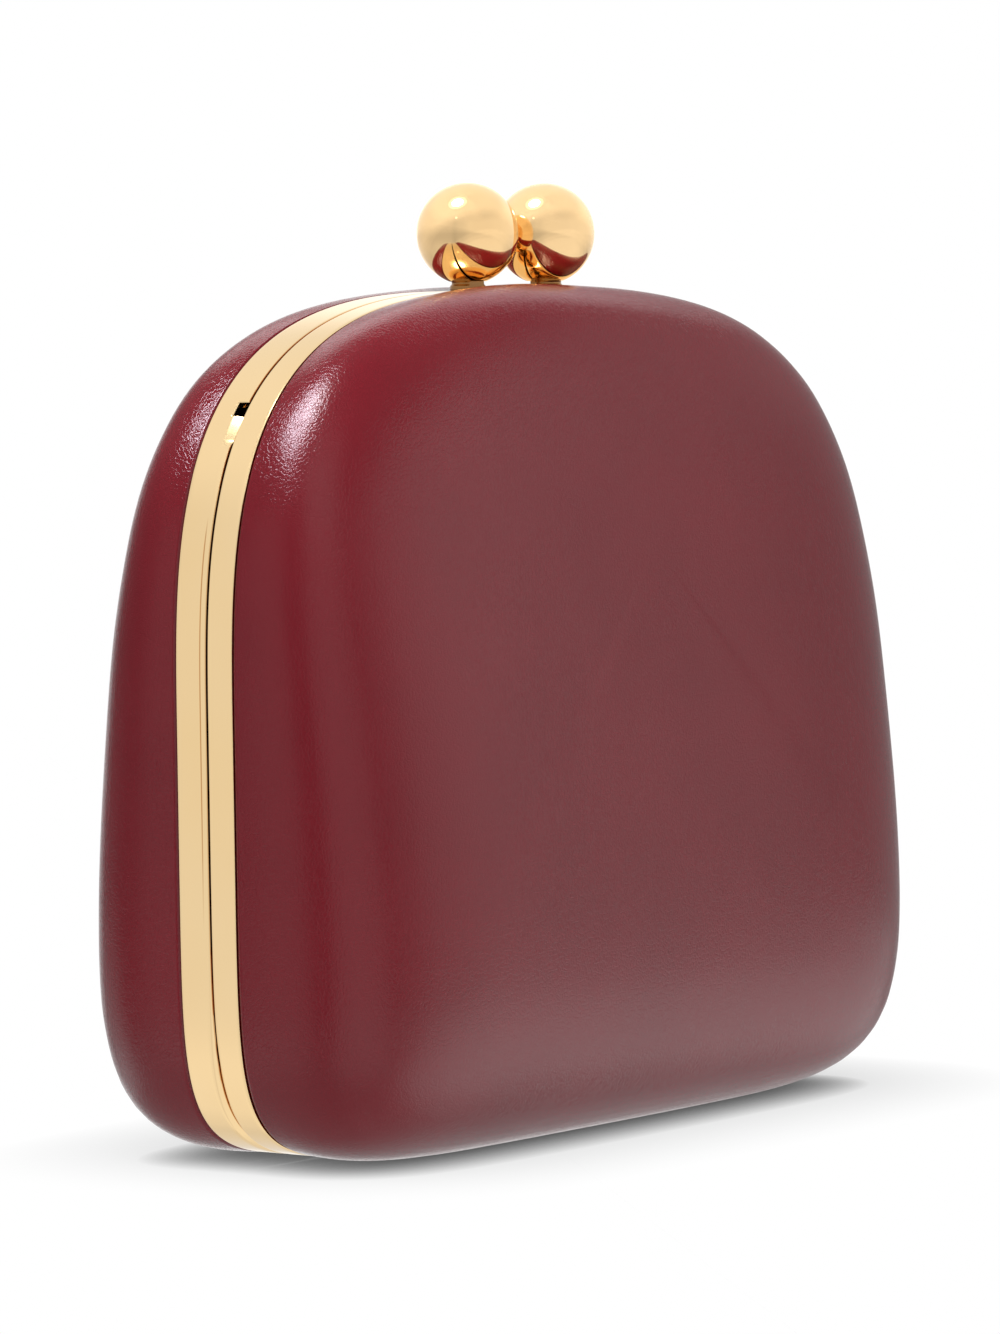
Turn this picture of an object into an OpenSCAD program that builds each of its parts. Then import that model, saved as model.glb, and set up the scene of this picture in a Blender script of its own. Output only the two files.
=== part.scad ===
// Hard-shell clutch bag: two padded leather half shells in a gilt frame, hinged along the base
// and closed by two balls on top. X runs across the bag, Y from front to back, Z up.
// The seam between the halves is the plane Y = 0 and the bag stands on Z = 0.

/* [Frame] */
// Width of the frame's outline
frame_w = 179.2; // [176:0.1:184]
// Height of the frame's outline
frame_h = 151.4; // [149:0.1:156]
// Height of the frame's widest level
widest_z = 76.3; // [72:0.1:80]
// Superellipse power of the outline above the widest level
crown_power = 3.15; // [2.9:0.05:3.5]
// Superellipse power of the outline below the widest level
base_power = 7.6; // [6.5:0.1:8.5]
// Distance from the seam to the back band's outer edge
back_edge_y = 6.7; // [6.6:0.05:7.4]
// Distance from the seam to the front band's outer edge
front_edge_y = 5.5; // [5.4:0.05:6.2]
// Thickness of the band
band_t = 1.5; // [1.3:0.05:1.6]
// Gap between the two bands at the seam
seam_gap = 0.3; // [0.2:0.05:0.4]
// Thickness of the inner flange
flange_t = 1.0; // [0.8:0.05:1.1]
// Reach of the inner flange from the outline
flange_reach = 6.5; // [6.3:0.1:7.5]
// Depth of the ledge behind the flange that the shell's rim fills
rim_depth = 1.1; // [1:0.05:1.3]

/* [Shell] */
// Deepest reach of the leather from the seam
shell_depth = 41.1; // [38:0.1:44]
// Height of the deepest level
deepest_z = 5.7; // [4:0.1:10]
// Drop in depth at the frame's top, from the deepest level
crown_drop = 20.9; // [16:0.1:22]
// Drop in depth at the frame's widest point
side_drop = 1.2; // [0.5:0.1:2]
// Height of the middle of the face
face_z = 105; // [98:0.5:108]
// Power of the shell's profile across the face
face_power = 5.85; // [5:0.05:6.5]
// Power of the shell's profile along its depth
wall_power = 2.7; // [2.3:0.05:3]
// Swell of the leather past the band
swell = 1.7; // [1:0.05:2]
// Thickness of the leather
leather_t = 1.0; // [0.8:0.05:1.1]
// Thickness of the padding
padding_t = 1.0; // [0.8:0.05:1.1]
// Thickness of the moulded core
core_t = 1.8; // [1.4:0.05:1.9]
// Thickness of the lining
lining_t = 0.8; // [0.6:0.05:0.9]
// Glue line between two layers
glue_gap = 0.15; // [0.1:0.01:0.2]

/* [Clasp] */
// Radius of a clasp ball
ball_r = 9.25; // [8.8:0.05:9.25]
// Distance from the middle of the bag to a ball's axis
ball_x = 9.3; // [9.3:0.05:10]
// Distance from the seam to the back ball's axis
back_ball_y = 2.2; // [2:0.05:2.6]
// Distance from the seam to the front ball's axis
front_ball_y = 1.6; // [1.6:0.05:1.75]
// Radius of a collar
collar_r = 3.3; // [3:0.05:3.6]
// Height of a collar
collar_h = 1.6; // [1:0.05:2]
// Height cut from the ball to seat it on its collar
seat_cut = 0.6; // [0.5:0.05:0.8]
// Radius of a clasp screw
screw_r = 0.9; // [0.7:0.05:1]
// Radius of a clasp screw's head
screw_head_r = 1.4; // [1.2:0.05:1.4]
// Height of a clasp screw's head
screw_head_h = 0.8; // [0.6:0.05:1.2]
// Depth of the threaded hole in a ball
thread_depth = 6; // [4:0.1:8]
// Clearance round a screw or a rivet
hole_gap = 0.06; // [0.04:0.01:0.1]

/* [Hinge] */
// Height of the hinge axis
hinge_z = 1.6; // [1.6:0.05:1.7]
// Distance from the middle of the bag to a hinge's middle
hinge_x = 40; // [34:0.5:44]
// Radius of a knuckle
knuckle_r = 1.55; // [1.4:0.05:1.6]
// Length of one knuckle
knuckle_l = 3.9; // [3.4:0.1:4.4]
// Gap between two knuckles
knuckle_gap = 0.15; // [0.1:0.01:0.2]
// Radius of the hinge pin
pin_r = 0.7; // [0.6:0.05:0.8]
// Radial running clearance of the pin in the front knuckles
pin_gap = 0.05; // [0.03:0.01:0.08]
// Radial clearance of the pin in the back knuckles, where it is staked
staked_gap = 0.02; // [0.01:0.005:0.03]
// Clearance round the knuckles in the bands
pocket_gap = 0.3; // [0.2:0.05:0.4]
// Angle to which the halves open
open_angle = 100; // [90:1:104]
// Thickness of a hinge leaf
leaf_t = 0.8; // [0.6:0.05:0.8]
// Height of a hinge leaf above the band
leaf_h = 4.6; // [4.2:0.1:4.8]
// Radius of a leaf rivet
leaf_rivet_r = 0.6; // [0.5:0.05:0.7]
// Radius of a leaf rivet's head
leaf_rivet_head_r = 1.1; // [1:0.05:1.2]
// Height of a rivet's head
rivet_head_h = 0.5; // [0.4:0.05:0.6]
// Distance between a leaf's two rivets
leaf_rivet_pitch = 12; // [10:0.5:14]

/* [Chain slots and lugs] */
// Angle of the chain slots up from the widest level
slot_angle = 35.5; // [33:0.5:38]
// Length of a chain slot along the band
slot_l = 3.0; // [2.5:0.1:3.5]
// Width of a chain slot from the seam
slot_w = 2.4; // [2:0.1:2.8]
// Length of the shallow relief below a slot
relief_l = 5.0; // [4:0.1:7]
// Depth of the relief
relief_depth = 0.5; // [0.3:0.05:0.7]
// Thickness of a chain lug
lug_t = 1.1; // [0.9:0.05:1.2]
// Radius of a lug's eye
eye_r = 1.6; // [1.4:0.05:1.8]
// Width of metal round a lug's eye
eye_wall = 1.4; // [1.2:0.05:1.6]
// Reach of a lug's eye from the outline
eye_reach = 10; // [9.5:0.1:11]
// Reach of a lug's rivet from the outline
lug_rivet_reach = 4.2; // [4:0.1:4.4]
// Radius of a lug rivet
lug_rivet_r = 0.75; // [0.6:0.05:0.8]
// Radius of a lug rivet's head
lug_rivet_head_r = 1.5; // [1.4:0.05:1.7]
// Radius of a lug's riveted end
lug_end_r = 2.3; // [2:0.05:2.4]

/* [Locating strips] */
// Thickness of a locating strip
strip_t = 0.9; // [0.7:0.05:1]
// Clearance between a strip and the band
strip_gap = 0.5; // [0.4:0.05:0.6]
// Reach of a strip past the seam
strip_reach = 2.4; // [2:0.1:2.8]
// Height of a strip's lower end
strip_low_z = 45; // [40:1:60]
// Height of a strip's upper end
strip_high_z = 118; // [100:1:122]

/* [Hidden] */

gilt = [0.93, 0.80, 0.55];
burgundy = [0.42, 0.11, 0.15];
board = [0.72, 0.66, 0.56];
foam = [0.85, 0.84, 0.78];
suede = [0.45, 0.16, 0.19];

// Sides of the frame's polygons and of the shell layers
outline_sides = 120;
shell_sides = 64;
// Power that gathers the outline's points towards its corners
corner_gather_share = 0.65;
// Ring places from the rim to the middle of the face, as shares of the outline
ring_shares = [1, 0.998, 0.99, 0.97, 0.93, 0.86, 0.76, 0.62, 0.45, 0.25];
// Places of the knuckles along a hinge, as shares of the pitch from its middle
back_knuckle_shares = [-2, 0, 2];
front_knuckle_shares = [-1, 1];
round_fn = 48;
ball_fn = 96;
overrun = 1;

half_w = frame_w / 2;
crown_h = frame_h - widest_z;
seam_y = seam_gap / 2;
back_flange_y = back_edge_y - rim_depth - flange_t;
front_flange_y = front_edge_y - rim_depth - flange_t;
crown_curve = crown_drop / pow(frame_h - deepest_z, 2);
side_curve = side_drop / pow(half_w, 2);

padding_inset = leather_t + glue_gap;
core_inset = max(padding_inset + padding_t, band_t + glue_gap) + glue_gap;
lining_inset = core_inset + core_t + glue_gap;

ball_z = frame_h + collar_h + ball_r - seat_cut;
// Height of the band's underside at the outer edge of a clasp screw's head, where the head seats
screw_seat_z = crown_height(ball_x + screw_head_r, band_t) - hole_gap;
hinge_l = 5 * knuckle_l + 4 * knuckle_gap;
knuckle_pitch = knuckle_l + knuckle_gap;
wedge_angle = open_angle / 2 + 1;
leaf_low_z = band_t + glue_gap;
leaf_high_z = band_t + leaf_h;
leaf_rivet_z = (leaf_low_z + leaf_high_z) / 2 + rivet_head_h;

// One point of the outline, inset towards the middle, at an angle seen from the widest level
function outline_power(a) = sin(a) >= 0 ? crown_power : base_power;
function outline_height(a) = sin(a) >= 0 ? crown_h : widest_z;
function outline_reach(a, inset) =
    let (p = outline_power(a))
    pow(
        pow(abs(cos(a)) / (half_w - inset), p) + pow(abs(sin(a)) / (outline_height(a) - inset), p),
        -1 / p
    );
function outline_point(a, inset) =
    [outline_reach(a, inset) * cos(a), widest_z + outline_reach(a, inset) * sin(a)];

// Height of the inset outline above a place across the bag
function crown_height(x, inset) =
    widest_z + (crown_h - inset) * pow(1 - pow(abs(x) / (half_w - inset), crown_power), 1 / crown_power);

// Angles round the outline, closer together at its corners
function signed_pow(v, p) = sign(v) * pow(abs(v), p);
function gathered_angle(t) =
    atan2(signed_pow(sin(t), corner_gather_share), signed_pow(cos(t), corner_gather_share));
function outline_angles(sides) = [for (i = [0:sides - 1]) gathered_angle((i + 0.5) * 360 / sides)];
function outline_points(inset) = [for (a = outline_angles(outline_sides)) outline_point(a, inset)];

// Angle of the outline's outward normal at an angle of the upper half
function crown_normal(a) =
    let (q = outline_point(a, 0))
    atan2(
        pow((q[1] - widest_z) / crown_h, crown_power - 1) / crown_h,
        pow(abs(q[0]) / half_w, crown_power - 1) / half_w
    );

// One point of the domed shell: share 1 is the rim and share 0 the middle of the face
function dome_rise(share) = pow(1 - pow(share, face_power), 1 / wall_power);
function dome_swell(share) =
    2 * swell * sqrt(1 - pow(share, face_power)) * pow(share, face_power / 2);
function dome_depth(x, z, inset) =
    shell_depth - inset - crown_curve * pow(z - deepest_z, 2) - side_curve * pow(x, 2);
function dome_point(a, inset, share, base_y) =
    let (
        q = outline_point(a, inset),
        arm = [q[0], q[1] - face_z],
        out = dome_swell(share) / norm(arm),
        x = arm[0] * share,
        z = face_z + arm[1] * share
    )
    [
        x + arm[0] * out,
        base_y + (dome_depth(x, z, inset) - base_y) * dome_rise(share),
        max(z + arm[1] * out, inset)
    ];

// Rings of one dome surface; a rim that starts nearer the seam adds one straight ring
function dome_stations(rim_y, edge_y) =
    concat(rim_y < edge_y ? [[1, rim_y]] : [], [for (s = ring_shares) [s, edge_y]]);
function dome_surface(inset, rim_y, edge_y) = concat(
    [
        for (s = dome_stations(rim_y, edge_y))
            for (a = outline_angles(shell_sides)) dome_point(a, inset, s[0], s[1])
    ],
    [dome_point(0, inset, 0, edge_y)]
);
function quad(a, b, c, d) = [[a, b, c], [a, c, d]];

// A closed layer of the dome between two insets, open towards the seam
module dome_layer(outer_inset, inner_inset, rim_y, edge_y) {
    n = shell_sides;
    rings = len(dome_stations(rim_y, edge_y));
    inner = rings * n + 1;
    faces = concat(
        [
            for (r = [0:rings - 2])
                for (j = [0:n - 1])
                    let (k = (j + 1) % n)
                    each quad(r * n + j, (r + 1) * n + j, (r + 1) * n + k, r * n + k)
        ],
        [
            for (r = [0:rings - 2])
                for (j = [0:n - 1])
                    let (k = (j + 1) % n)
                    each quad(
                        inner + r * n + k, inner + (r + 1) * n + k,
                        inner + (r + 1) * n + j, inner + r * n + j
                    )
        ],
        [for (j = [0:n - 1]) [(rings - 1) * n + j, inner - 1, (rings - 1) * n + (j + 1) % n]],
        [
            for (j = [0:n - 1])
                [inner + (rings - 1) * n + (j + 1) % n, inner + rings * n, inner + (rings - 1) * n + j]
        ],
        [for (j = [0:n - 1]) let (k = (j + 1) % n) each quad(k, inner + k, inner + j, j)]
    );
    polyhedron(
        points = concat(
            dome_surface(outer_inset, rim_y, edge_y),
            dome_surface(inner_inset, rim_y, edge_y)
        ),
        faces = faces
    );
}

module front_side() {
    mirror([0, 1, 0]) children();
}

module right_side() {
    mirror([1, 0, 0]) children();
}

// A ring that follows the outline between two insets and two distances from the seam
module outline_ring(outer_inset, inner_inset, low_y, high_y) {
    translate([0, high_y, 0]) rotate([90, 0, 0]) linear_extrude(high_y - low_y)
        difference() {
            polygon(outline_points(outer_inset));
            polygon(outline_points(inner_inset));
        }
}

// A cylinder along Y, and one along X
module y_rod(r, low_y, high_y, x, z) {
    translate([x, low_y, z]) rotate([-90, 0, 0]) cylinder(r = r, h = high_y - low_y, $fn = round_fn);
}
module x_rod(r, l, x, y, z) {
    translate([x, y, z]) rotate([0, 90, 0]) cylinder(r = r, h = l, center = true, $fn = round_fn);
}
module z_rod(r, low_z, high_z, x, y) {
    translate([x, y, low_z]) cylinder(r = r, h = high_z - low_z, $fn = round_fn);
}

// The groove under the hinge axis that lets the halves open
module base_groove() {
    drop = hinge_z + overrun;
    rotate([90, 0, 90]) linear_extrude(frame_w, center = true)
        polygon([[0, hinge_z], [drop * tan(wedge_angle), -overrun], [-drop * tan(wedge_angle), -overrun]]);
}

module hinge_pockets() {
    for (x = [-hinge_x, hinge_x])
        x_rod(knuckle_r + pocket_gap, hinge_l + 2 * pocket_gap, x, 0, hinge_z);
}

module leaf_rivet_holes(flange_y) {
    for (x = [-hinge_x, hinge_x], s = [-0.5, 0.5])
        y_rod(
            leaf_rivet_r + hole_gap, flange_y - overrun, flange_y + flange_t + overrun,
            x + s * leaf_rivet_pitch, leaf_rivet_z
        );
}

// One half's band and inner flange
module frame_half(edge_y, flange_y, screw_x, screw_y) {
    difference() {
        union() {
            outline_ring(0, band_t, seam_y, edge_y);
            outline_ring(band_t / 2, flange_reach, flange_y, flange_y + flange_t);
        }
        base_groove();
        hinge_pockets();
        leaf_rivet_holes(flange_y);
        z_rod(screw_r + hole_gap, frame_h - band_t - overrun, frame_h + overrun, screw_x, screw_y);
    }
}

// Places children on the left chain slot: X runs outwards and Z down along the band
module at_slot() {
    a = 180 - slot_angle;
    q = outline_point(a, 0);
    translate([q[0], 0, q[1]]) rotate([0, 180 + crown_normal(a), 0]) children();
}

module chain_slot() {
    at_slot() {
        translate([-band_t - overrun, -overrun, -slot_l / 2])
            cube([band_t + 2 * overrun, slot_w + overrun, slot_l]);
        translate([-relief_depth, -overrun, slot_l / 2 - overrun])
            cube([relief_depth + overrun, slot_w + overrun, relief_l + overrun]);
    }
}

// Places children at a reach inwards from the left slot, on the back flange
module at_lug(reach) {
    at_slot() translate([-reach, 0, 0]) children();
}

module lug_rivet_hole() {
    at_lug(lug_rivet_reach)
        y_rod(lug_rivet_r + hole_gap, back_flange_y - lug_t - overrun, back_flange_y + flange_t + overrun, 0, 0);
}

module back_frame() {
    color(gilt) difference() {
        frame_half(back_edge_y, back_flange_y, -ball_x, back_ball_y);
        chain_slot();
        right_side() chain_slot();
        lug_rivet_hole();
        right_side() lug_rivet_hole();
    }
}

module front_frame() {
    color(gilt) front_side() frame_half(front_edge_y, front_flange_y, ball_x, front_ball_y);
}

module leather(edge_y) {
    dome_layer(0, leather_t, edge_y + glue_gap, edge_y + glue_gap);
}
module padding(edge_y) {
    dome_layer(padding_inset, padding_inset + padding_t, edge_y + glue_gap, edge_y + glue_gap);
}
module core(edge_y, flange_y) {
    dome_layer(core_inset, core_inset + core_t, flange_y + flange_t + glue_gap, edge_y + glue_gap);
}
module lining(edge_y, flange_y) {
    dome_layer(lining_inset, lining_inset + lining_t, flange_y + flange_t + glue_gap, edge_y + glue_gap);
}

module back_leather() { color(burgundy) leather(back_edge_y); }
module back_padding() { color(foam) padding(back_edge_y); }
module back_core() { color(board) core(back_edge_y, back_flange_y); }
module back_lining() { color(suede) lining(back_edge_y, back_flange_y); }
module front_leather() { color(burgundy) front_side() leather(front_edge_y); }
module front_padding() { color(foam) front_side() padding(front_edge_y); }
module front_core() { color(board) front_side() core(front_edge_y, front_flange_y); }
module front_lining() { color(suede) front_side() lining(front_edge_y, front_flange_y); }

// A strip soldered to the front flange that slides inside the back band
module locating_strip() {
    inset = band_t + strip_gap;
    intersection() {
        outline_ring(inset, inset + strip_t, -front_flange_y, strip_reach);
        translate([0, -front_flange_y - overrun, strip_low_z])
            cube([half_w, front_flange_y + strip_reach + 2 * overrun, strip_high_z - strip_low_z]);
    }
}
module locating_strip_right() { color(gilt) locating_strip(); }
module locating_strip_left() { color(gilt) right_side() locating_strip(); }

// A ball with a flat seat and a blind hole for its screw
module clasp_ball(x, y) {
    color(gilt) difference() {
        translate([x, y, ball_z]) sphere(r = ball_r, $fn = ball_fn);
        translate([x - ball_r, y - ball_r, ball_z - 2 * ball_r + seat_cut])
            cube([2 * ball_r, 2 * ball_r, ball_r]);
        z_rod(screw_r + hole_gap, ball_z - ball_r, frame_h + collar_h + thread_depth, x, y);
    }
}
module clasp_ball_back() { clasp_ball(-ball_x, back_ball_y); }
module clasp_ball_front() { clasp_ball(ball_x, -front_ball_y); }

// A collar cut flush with its own band at the seam
module clasp_collar(x, y) {
    color(gilt) difference() {
        z_rod(collar_r, frame_h, frame_h + collar_h, x, y);
        z_rod(screw_r + hole_gap, frame_h - overrun, frame_h + collar_h + overrun, x, y);
        translate([x - collar_r - overrun, seam_y - 2 * collar_r, frame_h - overrun])
            cube([2 * collar_r + 2 * overrun, 2 * collar_r, collar_h + 2 * overrun]);
    }
}
module clasp_collar_back() { clasp_collar(-ball_x, back_ball_y); }
module clasp_collar_front() { front_side() clasp_collar(ball_x, front_ball_y); }

module clasp_screw(x, y) {
    head_z = screw_seat_z - screw_head_h;
    color(gilt) {
        z_rod(screw_r, head_z + screw_head_h / 2, frame_h + collar_h + thread_depth - hole_gap, x, y);
        z_rod(screw_head_r, head_z, screw_seat_z, x, y);
    }
}
module clasp_screw_back() { clasp_screw(-ball_x, back_ball_y); }
module clasp_screw_front() { clasp_screw(ball_x, -front_ball_y); }

// A leaf of the hinge at the right: a riveted plate with the knuckles of every second place
module hinge_leaf(flange_y, knuckle_shares, bore_r) {
    plate_y = flange_y - leaf_t;
    difference() {
        union() {
            translate([hinge_x - hinge_l / 2, plate_y, leaf_low_z])
                cube([hinge_l, leaf_t, leaf_high_z - leaf_low_z]);
            for (i = knuckle_shares) {
                x_rod(knuckle_r, knuckle_l, hinge_x + i * knuckle_pitch, 0, hinge_z);
                translate([hinge_x + i * knuckle_pitch - knuckle_l / 2, 0, leaf_low_z])
                    cube([knuckle_l, plate_y + leaf_t / 2, hinge_z + knuckle_r - leaf_low_z]);
            }
        }
        x_rod(bore_r, hinge_l + 2 * overrun, hinge_x, 0, hinge_z);
        for (s = [-0.5, 0.5])
            y_rod(
                leaf_rivet_r + hole_gap, plate_y - overrun, flange_y + overrun,
                hinge_x + s * leaf_rivet_pitch, leaf_rivet_z
            );
    }
}
module back_leaf() { hinge_leaf(back_flange_y, back_knuckle_shares, pin_r + staked_gap); }
module front_leaf() { front_side() hinge_leaf(front_flange_y, front_knuckle_shares, pin_r + pin_gap); }
module hinge_leaf_back_right() { color(gilt) back_leaf(); }
module hinge_leaf_back_left() { color(gilt) right_side() back_leaf(); }
module hinge_leaf_front_right() { color(gilt) front_leaf(); }
module hinge_leaf_front_left() { color(gilt) right_side() front_leaf(); }

module hinge_pin_right() { color(gilt) x_rod(pin_r, hinge_l, hinge_x, 0, hinge_z); }
module hinge_pin_left() { color(gilt) x_rod(pin_r, hinge_l, -hinge_x, 0, hinge_z); }

// A rivet along Y from the back of the flange to a head on the plate's face
module rivet(r, head_r, face_y, end_y, x, z) {
    y_rod(r, face_y - rivet_head_h / 2, end_y, x, z);
    y_rod(head_r, face_y - rivet_head_h, face_y, x, z);
}
module leaf_rivets(flange_y) {
    for (x = [-hinge_x, hinge_x], s = [-0.5, 0.5])
        rivet(
            leaf_rivet_r, leaf_rivet_head_r, flange_y - leaf_t, flange_y + flange_t,
            x + s * leaf_rivet_pitch, leaf_rivet_z
        );
}
module back_leaf_rivets() { color(gilt) leaf_rivets(back_flange_y); }
module front_leaf_rivets() { color(gilt) front_side() leaf_rivets(front_flange_y); }

// A lug inside the back frame that a chain's end ring hooks through
module chain_lug() {
    lug_y = back_flange_y - lug_t;
    difference() {
        union() {
            at_lug(eye_reach) y_rod(eye_r + eye_wall, lug_y, back_flange_y, 0, 0);
            at_lug(lug_rivet_reach) y_rod(lug_end_r, lug_y, back_flange_y, 0, 0);
            at_lug(eye_reach) translate([0, lug_y, -lug_end_r])
                cube([eye_reach - lug_rivet_reach, lug_t, 2 * lug_end_r]);
        }
        at_lug(eye_reach) y_rod(eye_r, lug_y - overrun, back_flange_y + overrun, 0, 0);
        lug_rivet_hole();
    }
}
module chain_lug_left() { color(gilt) chain_lug(); }
module chain_lug_right() { color(gilt) right_side() chain_lug(); }

module lug_rivet() {
    at_lug(lug_rivet_reach)
        rivet(lug_rivet_r, lug_rivet_head_r, back_flange_y - lug_t, back_flange_y + flange_t, 0, 0);
}
module chain_lug_rivets() {
    color(gilt) {
        lug_rivet();
        right_side() lug_rivet();
    }
}

back_frame();
back_core();
back_padding();
back_leather();
back_lining();
front_frame();
front_core();
front_padding();
front_leather();
front_lining();
locating_strip_left();
locating_strip_right();
clasp_ball_back();
clasp_ball_front();
clasp_collar_back();
clasp_collar_front();
clasp_screw_back();
clasp_screw_front();
hinge_leaf_back_left();
hinge_leaf_back_right();
hinge_leaf_front_left();
hinge_leaf_front_right();
hinge_pin_left();
hinge_pin_right();
back_leaf_rivets();
front_leaf_rivets();
chain_lug_left();
chain_lug_right();
chain_lug_rivets();
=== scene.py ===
# %% [markdown]
# A hard-shell evening clutch. Two domed half shells, covered in burgundy calf over thin padding, sit in
# a polished gilt frame that is hinged along the base and closes on top with two balls that snap past
# each other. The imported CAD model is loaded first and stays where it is. Every piece made below is in
# metres in the same frame, and rides on the half of the bag that carries it.

# %% Load the frame
import math

import bmesh
import bpy
import numpy as np
from mathutils import Matrix, Vector


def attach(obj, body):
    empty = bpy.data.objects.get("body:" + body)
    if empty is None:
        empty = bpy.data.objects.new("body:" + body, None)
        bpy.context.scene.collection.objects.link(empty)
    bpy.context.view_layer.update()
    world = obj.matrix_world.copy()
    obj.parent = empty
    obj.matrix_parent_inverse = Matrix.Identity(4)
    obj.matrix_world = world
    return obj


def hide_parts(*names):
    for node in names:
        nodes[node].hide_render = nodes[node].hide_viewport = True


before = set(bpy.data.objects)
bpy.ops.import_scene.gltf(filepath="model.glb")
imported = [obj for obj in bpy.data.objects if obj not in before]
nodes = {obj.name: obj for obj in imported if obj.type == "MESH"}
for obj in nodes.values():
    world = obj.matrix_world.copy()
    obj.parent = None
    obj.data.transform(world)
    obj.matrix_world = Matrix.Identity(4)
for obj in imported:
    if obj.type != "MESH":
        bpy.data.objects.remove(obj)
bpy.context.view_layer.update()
bpy.context.scene.view_settings.view_transform = "Standard"

# %% [markdown]
# The frame's outline is a superellipse with one power above its widest level and a squarer one below.
# It could be drawn as a curve by hand, but the same short formula gives every layer of the bag, from the
# gilt band to the lining, so the layers nest without any fitting. Lengths here are in millimetres, as a
# frame maker would write them, and are turned into metres only when a mesh is made.

# %% The outline that every layer follows
MM = 0.001
FRAME_W, FRAME_H, WIDEST_Z = 179.2, 151.4, 76.3
CROWN_POWER, BASE_POWER = 3.15, 7.6
HALF_W, CROWN_H = FRAME_W / 2, FRAME_H - WIDEST_Z


def outline_at(angle, inset=0.0):
    """Points (x, z) of the outline at angles seen from its widest level, inset towards the middle."""
    c, s = np.cos(angle), np.sin(angle)
    power = np.where(s >= 0, CROWN_POWER, BASE_POWER)
    tall = np.where(s >= 0, CROWN_H, WIDEST_Z) - inset
    reach = ((np.abs(c) / (HALF_W - inset)) ** power + (np.abs(s) / tall) ** power) ** (-1 / power)
    return reach * c, WIDEST_Z + reach * s


def outward_at(angle):
    """The outline's outward normal, as (x, z), at the same angles."""
    x, z = outline_at(angle)
    s = z - WIDEST_Z
    power = np.where(s >= 0, CROWN_POWER, BASE_POWER)
    tall = np.where(s >= 0, CROWN_H, WIDEST_Z)
    nx = np.sign(x) * (np.abs(x) / HALF_W) ** (power - 1) / HALF_W
    nz = np.sign(s) * (np.abs(s) / tall) ** (power - 1) / tall
    size = np.hypot(nx, nz)
    return nx / size, nz / size


# %% Lengths along the outline, from the middle of the base round by the right side
FINE_POINTS = 40001
fine_angles = np.linspace(-np.pi / 2, 1.5 * np.pi, FINE_POINTS)
fine_x, fine_z = outline_at(fine_angles)
fine_runs = np.concatenate([[0], np.cumsum(np.hypot(np.diff(fine_x), np.diff(fine_z)))])
ROUND_LENGTH = fine_runs[-1]


def angle_at_run(run):
    """The outline's angle where a tape laid round it from the base reads that many millimetres."""
    return np.interp(np.mod(run, ROUND_LENGTH), fine_runs, fine_angles)


def run_at_angle(angle):
    return float(np.interp(angle, fine_angles, fine_runs))


print("the frame's outline is", round(ROUND_LENGTH, 1), "mm round")

# %% [markdown]
# A mesh is made from arrays of points and faces, because a lofted bag or a swept band is a regular grid.
# The helper turns millimetres into metres, smooths the shading up to a sharp angle and lets the piece
# ride on its half of the bag.

# %% Make a piece from points in millimetres
SMOOTH_ANGLE = math.radians(32)


def smooth_up_to(piece, sharp):
    """Smooth shading, with edges sharper than the angle left crisp."""
    with bpy.context.temp_override(object=piece, active_object=piece, selected_objects=[piece],
                                   selected_editable_objects=[piece]):
        bpy.ops.object.shade_smooth_by_angle(angle=sharp)


def make_piece(name, points, faces, material, body=None, sharp=SMOOTH_ANGLE):
    mesh = bpy.data.meshes.new(name)
    mesh.from_pydata([tuple(p) for p in np.asarray(points, float) * MM], [], faces)
    mesh.validate()
    piece = bpy.data.objects.new(name, mesh)
    bpy.context.scene.collection.objects.link(piece)
    mesh.materials.append(material)
    smooth_up_to(piece, sharp)
    if body:
        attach(piece, body)
    return piece


def grid_faces(rows, columns, wrap_rows=False, first=0, flip=False):
    """Quads of a grid of points that are numbered row by row; every row closes on itself."""
    faces = []
    for r in range(rows if wrap_rows else rows - 1):
        for c in range(columns):
            d, e = (c + 1) % columns, (r + 1) % rows
            quad = [r * columns + c, e * columns + c, e * columns + d, r * columns + d]
            faces.append([first + i for i in (quad[::-1] if flip else quad)])
    return faces


# %% [markdown]
# The camera stands at the front left of the bag, 54 degrees round and 3 degrees above, far enough back
# for a long portrait lens. Its place came from fitting the outline, the bands and the two balls together,
# and it leans by less than a degree, as a hand-set camera does.

# %% Camera: its angles in radians, its distance and aim in millimetres
CAMERA_AZ, CAMERA_EL, CAMERA_ROLL = 0.942478, 0.054467, -0.013828
CAMERA_AWAY, PIXELS_PER_MM = 1130.634, 5.5
AIM = np.array([-4.134, 0.0, 82.989])
PHOTO_TALL, SENSOR = 1334, 36.0
NEAREST, FARTHEST = 0.05, 60

ahead = np.array([math.sin(CAMERA_AZ) * math.cos(CAMERA_EL), math.cos(CAMERA_AZ) * math.cos(CAMERA_EL),
                  -math.sin(CAMERA_EL)])
right = np.cross(ahead, [0, 0, 1.0])
right /= np.linalg.norm(right)
up = np.cross(right, ahead)
lean_c, lean_s = math.cos(CAMERA_ROLL), math.sin(CAMERA_ROLL)
right, up = lean_c * right + lean_s * up, -lean_s * right + lean_c * up

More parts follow.
